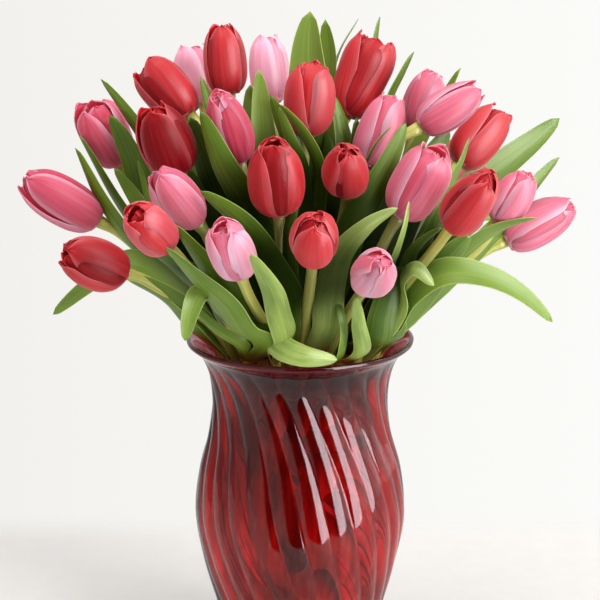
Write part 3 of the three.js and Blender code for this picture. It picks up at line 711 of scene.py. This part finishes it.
def stem_mesh(line, rows=70, sides=18):
    points, along = evenly(line, rows)
    share = np.linspace(0, 1, rows)
    radius = STEM_RADIUS * (1.03 - 0.1 * share + 0.28 * ease(share, 0.965, 1.0))
    across = np.zeros_like(points)
    side = np.cross(along[0], (0, -1, 0))
    for i, direction in enumerate(along):
        side = unit(side - direction * np.dot(side, direction))
        across[i] = side
    third = np.cross(along, across)
    angle = 2 * math.pi * np.arange(sides) / sides
    ring = radius[:, None, None] * (
        np.cos(angle)[None, :, None] * across[:, None] + np.sin(angle)[None, :, None] * third[:, None]
    )
    grid = points[:, None] + ring
    index = np.arange(rows * sides).reshape(rows, sides)
    after = np.roll(index, -1, axis=1)
    faces = quads(index[:-1], after[:-1], after[1:], index[1:]).tolist()
    faces.append(index[0][::-1].tolist())
    faces.append(index[-1].tolist())
    round_about = np.broadcast_to(np.cos(angle), (rows, sides))
    place = np.stack([round_about, np.broadcast_to(share[:, None], (rows, sides)), 0 * round_about], -1)
    return grid.reshape(-1, 3), faces, place.reshape(-1, 3)


# ---------- leaves ----------


def blade_share(s):
    """A leaf's width along its length, as a share of the full width."""
    opening = np.minimum(1, LEAF_BASE + LEAF_OPENING * s)
    return opening * np.sqrt(1 - s**LEAF_TAPER)


def turn_about(vectors, axes, angles):
    """Each vector turned about its unit axis."""
    cos, sin = np.cos(angles)[:, None], np.sin(angles)[:, None]
    along = np.sum(vectors * axes, 1, keepdims=True)
    return vectors * cos + np.cross(axes, vectors) * sin + axes * along * (1 - cos)


def carried_across(along):
    """The direction across a blade: level with the front at its tip, and carried back without twisting."""
    across = np.cross(along, (0, -1, 0))
    across[-1] = unit(across[-1])
    for i in range(len(along) - 2, -1, -1):
        across[i] = unit(across[i + 1] - along[i] * np.dot(across[i + 1], along[i]))
    return across


def leaf_mesh(width, turn, path, line, rng, rows=46, columns=15):
    start = line[np.argmax(line[:, 2] >= LEAF_FROM)]
    points, along = evenly(smooth_line([start, *path]), rows)
    s = np.linspace(0, 1, rows)
    across = turn_about(carried_across(along), along, np.radians(turn[0] + (turn[1] - turn[0]) * s))
    outer = np.cross(across, along)
    u = np.sin(np.linspace(-1, 1, columns) * math.pi / 2)
    half = width / 2 * LEAF_BREADTH * blade_share(s) + LEAF_TIP
    lift = -2 * LEAF_CHANNEL * half[:, None] * np.abs(u) ** 1.7
    phase, waves = rng.uniform(0, 2 * math.pi, 2), rng.uniform(*LEAF_WAVES, 2)
    edge = np.where(u < 0, 0, 1)
    swell = np.sin(2 * math.pi * waves[edge] * s[:, None] + phase[edge])
    lift = lift + LEAF_WAVE * half[:, None] * np.abs(u) ** 2.4 * swell * ease(s, 0.05, 0.4)[:, None]
    sideways = across[:, None] * (half[:, None] * u)[..., None]
    middle = points[:, None] + sideways + outer[:, None] * lift[..., None]
    normal = grid_normals(middle)
    thick = LEAF_THICKNESS / 2 * (1 - 0.45 * s[:, None]) * (1 - 0.6 * np.abs(u) ** 3)
    vertices, faces = sheet(middle + normal * thick[..., None], middle - normal * thick[..., None])
    return vertices, faces, surface_places(u, s)


def surface_places(across, along):
    """Each vertex's place on a sheet: across, along, and 0 on its outer face or 1 on its inner face."""
    rows, columns = len(along), len(across)
    places = np.zeros((2, rows, columns, 3))
    places[..., 0] = across
    places[..., 1] = along[:, None]
    places[1, ..., 2] = 1
    return places.reshape(-1, 3)


# ---------- blooms ----------


def petal_mesh(radius, length, angle, inner, opening, rng, rows=36, columns=23):
    """One petal on an upright bloom whose base is at the origin and whose front is +X."""
    line, _ = evenly(smooth_line(PETAL_LINE), rows)
    v = np.linspace(0, 1, rows)
    rho, height = line[:, 0] * radius, line[:, 1] * length
    rho = rho + opening * radius * ease(line[:, 1], 0.35, 1.0)
    height = height * (rng.uniform(0.95, 1.0) if inner else rng.uniform(0.96, 1.02))
    breadth = INNER_BREADTH if inner else PETAL_BREADTH
    half = smooth_table(breadth, v) * radius * rng.uniform(0.95, 1.04)
    if inner:
        rho = rho - radius * (INNER_SET * ease(v, 0.02, 0.2) + INNER_REACH * ease(v, 0.7, 1.0))
    rho = np.maximum(rho, 0.05 * radius)
    curl = np.maximum(rho * PETAL_CUP, PETAL_CURL * radius)
    u = np.sin(np.linspace(-1, 1, columns) * math.pi / 2)
    phi = u[None] * (half / curl)[:, None]
    out = rho[:, None] - curl[:, None] * (1 - np.cos(phi))
    side = curl[:, None] * np.sin(phi)
    envelope = ease(v, 0.05, 0.35)[:, None]
    out = out + PETAL_LAP * radius * u * envelope
    phase = rng.uniform(0, 2 * math.pi, 4)
    ridges = sum(tall * np.cos(close * u + at) for (tall, close), at in zip(PETAL_FOLDS, phase))
    keel = -PETAL_KEEL * np.exp(-((u / 0.1) ** 2)) * ease(v, 0.25, 0.9)[:, None]
    swell = np.sin(2 * math.pi * 1.4 * v[:, None] + phase[2] + 0.9 * u)
    wave = PETAL_WAVE * np.abs(u) ** 3 * swell * envelope
    flick = rng.uniform(*PETAL_FLICK) * ease(v, 0.86, 1.0)[:, None]
    out = out + radius * (ridges * envelope + keel + wave + flick)
    lean = math.radians(rng.normal(0, PETAL_LEAN))
    notch = PETAL_NOTCH * length * np.cos(9.0 * u + phase[3]) * ease(v, 0.85, 1.0)[:, None]
    up = height[:, None] + 0 * out + notch
    out, up = out * math.cos(lean) + up * math.sin(lean), up * math.cos(lean) - out * math.sin(lean)
    turned = angle + math.radians(rng.normal(0, PETAL_TURN))
    twist = turned + math.radians(rng.normal(0, PETAL_TWIST)) * v[:, None]
    cos, sin = np.cos(twist), np.sin(twist)
    grid = np.stack([out * cos - side * sin, out * sin + side * cos, up], -1)
    normal = grid_normals(grid)
    thick = PETAL_THICKNESS * (1 - 0.5 * np.abs(u) ** 4)[None] * (1 - 0.3 * ease(v, 0.6, 1.0)[:, None])
    vertices, faces = sheet(grid, grid - normal * thick[..., None])
    return vertices, faces, surface_places(u, v)


def heart_mesh(radius, length, rng, rows=14, columns=48):
    """The tight bud in a bloom's middle, three folded lobes that show where the top is open."""
    v = np.linspace(0, 1, rows)
    turn = 2 * math.pi * np.arange(columns + 1) / columns
    lobe = (turn / (2 * math.pi) * 3 + rng.uniform()) % 1 * 2 - 1
    rho = smooth_table(HEART_LINE, v) * radius
    round_it = 1 - 0.24 * np.abs(lobe) ** 3
    swirl = turn[None] + 0.9 * v[:, None]
    r = rho[:, None] * round_it
    rise = HEART_FOOT + (HEART_TOP - HEART_FOOT) * v[:, None]
    up = length * (rise - 0.03 * np.abs(lobe) * v[:, None])
    grid = np.stack([r * np.cos(swirl), r * np.sin(swirl), up + 0 * r], -1)
    index = np.arange(grid.shape[0] * grid.shape[1]).reshape(grid.shape[:2])
    faces = quads(index[:-1, :-1], index[:-1, 1:], index[1:, 1:], index[1:, :-1])
    places = np.stack([0.8 * lobe + 0 * r, 0.5 + 0.4 * v[:, None] + 0 * r, 0 * r], -1)
    return grid.reshape(-1, 3), faces, places.reshape(-1, 3)


def bloom(name, base, tip, width, material, tone, roll, opening, rng):
    """Six petals, three inside three, round the bloom's axis and its heart."""
    base, tip = np.array(base, float), np.array(tip, float)
    axis = unit(tip - base)
    length = np.linalg.norm(tip - base)
    front = np.array([0.0, -1.0, 0.0])
    front = unit(front - axis * np.dot(front, axis))
    basis = np.stack([front, np.cross(axis, front), axis])
    parts, places, faces, tones, count = [], [], [], [], 0
    for k in range(6):
        inner = k % 2 == 1
        angle = math.radians(roll + 60 * k)
        vertices, skin, place = petal_mesh(width / 2, length, angle, inner, opening, rng)
        parts.append(vertices)
        places.append(place)
        faces.append(skin + count)
        # the inner petals are deeper, partly as painted shade in the creases
        deeper = INNER_DEEPER if inner else 0
        tones.append(np.full(len(vertices), tone + rng.uniform(-TONE_SPREAD, TONE_SPREAD) - deeper))
        count += len(vertices)
    vertices, skin, place = heart_mesh(width / 2, length, rng)
    parts.append(vertices)
    places.append(place)
    faces.append(skin + count)
    # the heart is deeper, partly as painted shade down in the cup
    tones.append(np.full(len(vertices), tone - HEART_DEEPER))
    vertices = np.concatenate(parts) @ basis + base
    made = piece(
        name + "_petals", vertices, np.concatenate(faces), material,
        np.concatenate(places), np.concatenate(tones),
    )
    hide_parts(name + "_bloom")
    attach(made, BODY)


# ---------- the bunch ----------


def bunch():
    pink = petal_material(
        "pink_petal", colour(192, 60, 84), colour(232, 112, 140), colour(252, 190, 214),
        colour(252, 206, 224), colour(216, 206, 130),
    )
    red = petal_material(
        "red_petal", colour(128, 8, 16), colour(208, 28, 36), colour(232, 92, 104),
        colour(240, 120, 128), colour(206, 130, 62),
    )
    petals = {PINK: (pink, "petal_pink"), RED: (red, "petal_red")}
    blade = leaf_material()
    skin = stem_material()
    lines = []
    for number, (row, neck) in enumerate(zip(TULIPS, neck_places()), 1):
        base, tip, width, kind, tone, roll, opening = row
        name = f"tulip_{number:02d}"
        rng = np.random.default_rng(SEED * number)
        lines.append(stem_line(base, tip, neck))
        vertices, faces, place = stem_mesh(lines[-1])
        made = piece(name + "_stalk", vertices, faces, skin, place, rng.uniform(0, 10))
        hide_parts(name + "_stem")
        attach(made, BODY)
        material, slot = petals[kind]
        bloom(name, base, tip, width, material, tone, roll, opening, rng)
    for number, line in enumerate(lines, 1):
        leaves_of(number, line, blade)


def leaves_of(number, line, material):
    """The leaves that grow on one tulip, as one piece."""
    parts, places, faces, tones, count = [], [], [], [], 0
    for index, (of, width, turn, tone, *path) in enumerate(LEAVES):
        if of != number:
            continue
        rng = np.random.default_rng(SEED + index)
        vertices, skin, place = leaf_mesh(width, turn, path, line, rng)
        parts.append(vertices)
        places.append(place)
        faces.append(skin + count)
        tones.append(np.full(len(vertices), tone + rng.uniform(-TONE_SPREAD, TONE_SPREAD)))
        count += len(vertices)
    name = f"tulip_{number:02d}"
    made = piece(
        name + "_leaves", np.concatenate(parts), np.concatenate(faces), material,
        np.concatenate(places), np.concatenate(tones),
    )
    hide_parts(name + "_stem")
    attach(made, BODY)


# ---------- stage, camera and light ----------

TABLE_SIDE = 1.6  # how far the table reaches right and left, in metres, and in front
TABLE_NEAR = 1.4
TABLE_BACK = 0.295  # the table's far edge, in metres behind the vase's centre
TABLE_HAZE = 0.07
CAMERA_TARGET = (0.0, 0.0, 0.238)
CAMERA_DISTANCE = 1.5
CAMERA_ELEVATION = math.radians(15)
CAMERA_LENS = 153.0
BACKDROP_LEFT = colour(242, 240, 236)
BACKDROP_RIGHT = colour(252, 252, 250)
BACKDROP_TURN = 0.14  # how far each side of straight ahead the backdrop's two tones meet
ROOM_LIGHT = 0.6  # the room's brightness as light, in the picture and in mirrors
ROOM_SEEN = 1.0
ROOM_MIRRORED = 0.8
TABLE_FRONT = 0.30  # how far in front of the vase the mirrored room begins
ROOM_REACH = 1.2
DOOR_TOP = 0.64
WINDOW_TOP = 1.5
WALL_TOP = 0.75  # the walls right and left of the vase, as high as its sides mirror
HIGH_WINDOW_TOP = 1.6
DOORWAY = ((0.02, 0.016, 0.016, 1.0), 1.0)  # tint and strength
WINDOW = ((1.0, 0.93, 0.98, 1.0), 13.0)
HIGH_WINDOW = ((1.0, 0.95, 1.0, 1.0), 6.0)
LIT_WALL = ((1.0, 0.95, 0.96, 1.0), 1.9)
DIM_WALL = ((1.0, 0.95, 0.96, 1.0), 0.35)


def card(name, corners, material, **seen):
    """A flat card of four corners in metres, which only some rays see."""
    vertices = np.array(corners) / MM
    made = piece(name, vertices, np.array([[0, 1, 2, 3]]), material)
    for ray in ("camera", "diffuse", "glossy", "transmission", "volume_scatter", "shadow"):
        setattr(made, "visible_" + ray, seen.get(ray, False))


def table_material():
    """A pale matt table whose far edge melts into the backdrop."""
    n = Nodes(bpy.data.materials.new("pale_table"))
    y = n.spot()[1]
    speckle = n.noise(n.node("ShaderNodeTexCoord").outputs["Object"], 60.0, 3.0)
    tint = (0.79, 0.775, 0.76, 1.0)
    n.surface(
        Base_Color=n.mix(n.between(speckle, 0.3, 0.7, 0.0, 0.06), tint, (0.5, 0.5, 0.5, 1.0)),
        Roughness=0.55,
        Specular_IOR_Level=0.3,
        Alpha=n.between(y, TABLE_BACK - TABLE_HAZE, TABLE_BACK, 1.0, 0.0),
    )
    return n.owner


def glow_material(name, tint, strength):
    n = Nodes(bpy.data.materials.new(name))
    glow = n.node("ShaderNodeEmission", {"Color": tint, "Strength": strength})
    n.node("ShaderNodeOutputMaterial", {"Surface": glow.outputs[0]})
    return n.owner


def stage():
    near, far = -TABLE_NEAR, TABLE_BACK
    corners = [(-TABLE_SIDE, near, 0), (TABLE_SIDE, near, 0), (TABLE_SIDE, far, 0), (-TABLE_SIDE, far, 0)]
    piece("table", np.array(corners) / MM, np.array([[0, 1, 2, 3]]), table_material())


def bearing_card(name, bearings, foot, top, glow):
    """A glowing card that only mirrors show, between two bearings right of the front.

    foot and top are each a distance from the vase's axis as a function of the bearing, and a height.
    """
    corners = []
    for (reach, height), order in ((foot, (0, 1)), (top, (1, 0))):
        for a in (math.radians(bearings[side]) for side in order):
            corners.append((reach(a) * math.sin(a), -reach(a) * math.cos(a), height))
    card(name, corners, glow_material(name, *glow), glossy=True)


def room():
    """What the glass mirrors of a pale room: a dark doorway and windows in front, and walls at the sides."""

    def table_edge(a):
        return TABLE_FRONT / math.cos(a)

    def wall(_):
        return ROOM_REACH

    bearing_card("room_doorway", (-14, 30), (table_edge, 0.001), (wall, DOOR_TOP), DOORWAY)
    bearing_card("window", (31, 68), (table_edge, 0.001), (wall, WINDOW_TOP), WINDOW)
    bearing_card("high_window", (66, 105), (wall, WALL_TOP), (wall, HIGH_WINDOW_TOP), HIGH_WINDOW)
    bearing_card("lit_wall", (72, 135), (wall, 0.0), (wall, WALL_TOP), LIT_WALL)
    bearing_card("dim_wall", (-135, -78), (wall, 0.0), (wall, WALL_TOP), DIM_WALL)


def area_light(name, place, aim, size, power, tint):
    light = bpy.data.lights.new(name, "AREA")
    light.shape = "RECTANGLE"
    light.size, light.size_y = size
    light.energy = power
    light.color = tint
    made = bpy.data.objects.new(name, light)
    made.location = place
    made.rotation_mode = "QUATERNION"
    towards = Vector(aim) - Vector(place)
    made.rotation_quaternion = towards.to_track_quat("-Z", "Y")
    bpy.context.scene.collection.objects.link(made)


def lights():
    area_light("key", (1.05, -1.25, 1.15), (0, 0, 0.3), (0.9, 0.8), 27.0, (1.0, 0.985, 0.97))
    area_light("top", (-0.2, 0.1, 1.7), (0, 0, 0.3), (1.4, 1.0), 15.0, (1.0, 1.0, 1.0))


def world():
    """A pale room that is a little darker on the left, dimmer as light than as the backdrop."""
    n = Nodes(bpy.data.worlds.new("studio"))
    place = n.node("ShaderNodeTexCoord").outputs["Generated"]
    across = n.node("ShaderNodeSeparateXYZ", {0: place}).outputs[0]
    tint = n.mix(n.ramp(across, -BACKDROP_TURN, BACKDROP_TURN), BACKDROP_LEFT, BACKDROP_RIGHT)
    ray = n.node("ShaderNodeLightPath").outputs
    seen = n.math("MAXIMUM", ray["Is Camera Ray"], ray["Is Transmission Ray"])
    strength = n.ramp(seen, 0.0, 1.0, ROOM_LIGHT, ROOM_SEEN)
    strength = n.ramp(ray["Is Glossy Ray"], 0.0, 1.0, strength, ROOM_MIRRORED)
    sky = n.node("ShaderNodeBackground", {0: tint, 1: strength})
    n.node("ShaderNodeOutputWorld", {0: sky.outputs[0]})
    bpy.context.scene.world = n.owner


def camera():
    data = bpy.data.cameras.new("camera")
    data.sensor_width = 36.0
    data.lens = CAMERA_LENS
    made = bpy.data.objects.new("camera", data)
    x, y, z = CAMERA_TARGET
    back, up = CAMERA_DISTANCE * math.cos(CAMERA_ELEVATION), CAMERA_DISTANCE * math.sin(CAMERA_ELEVATION)
    made.location = (x, y - back, z + up)
    made.rotation_euler = (math.pi / 2 - CAMERA_ELEVATION, 0, 0)
    bpy.context.scene.collection.objects.link(made)
    bpy.context.scene.camera = made


camera()
vase()
bunch()
stage()
room()
lights()
world()
bpy.context.scene.view_settings.view_transform = "Standard"
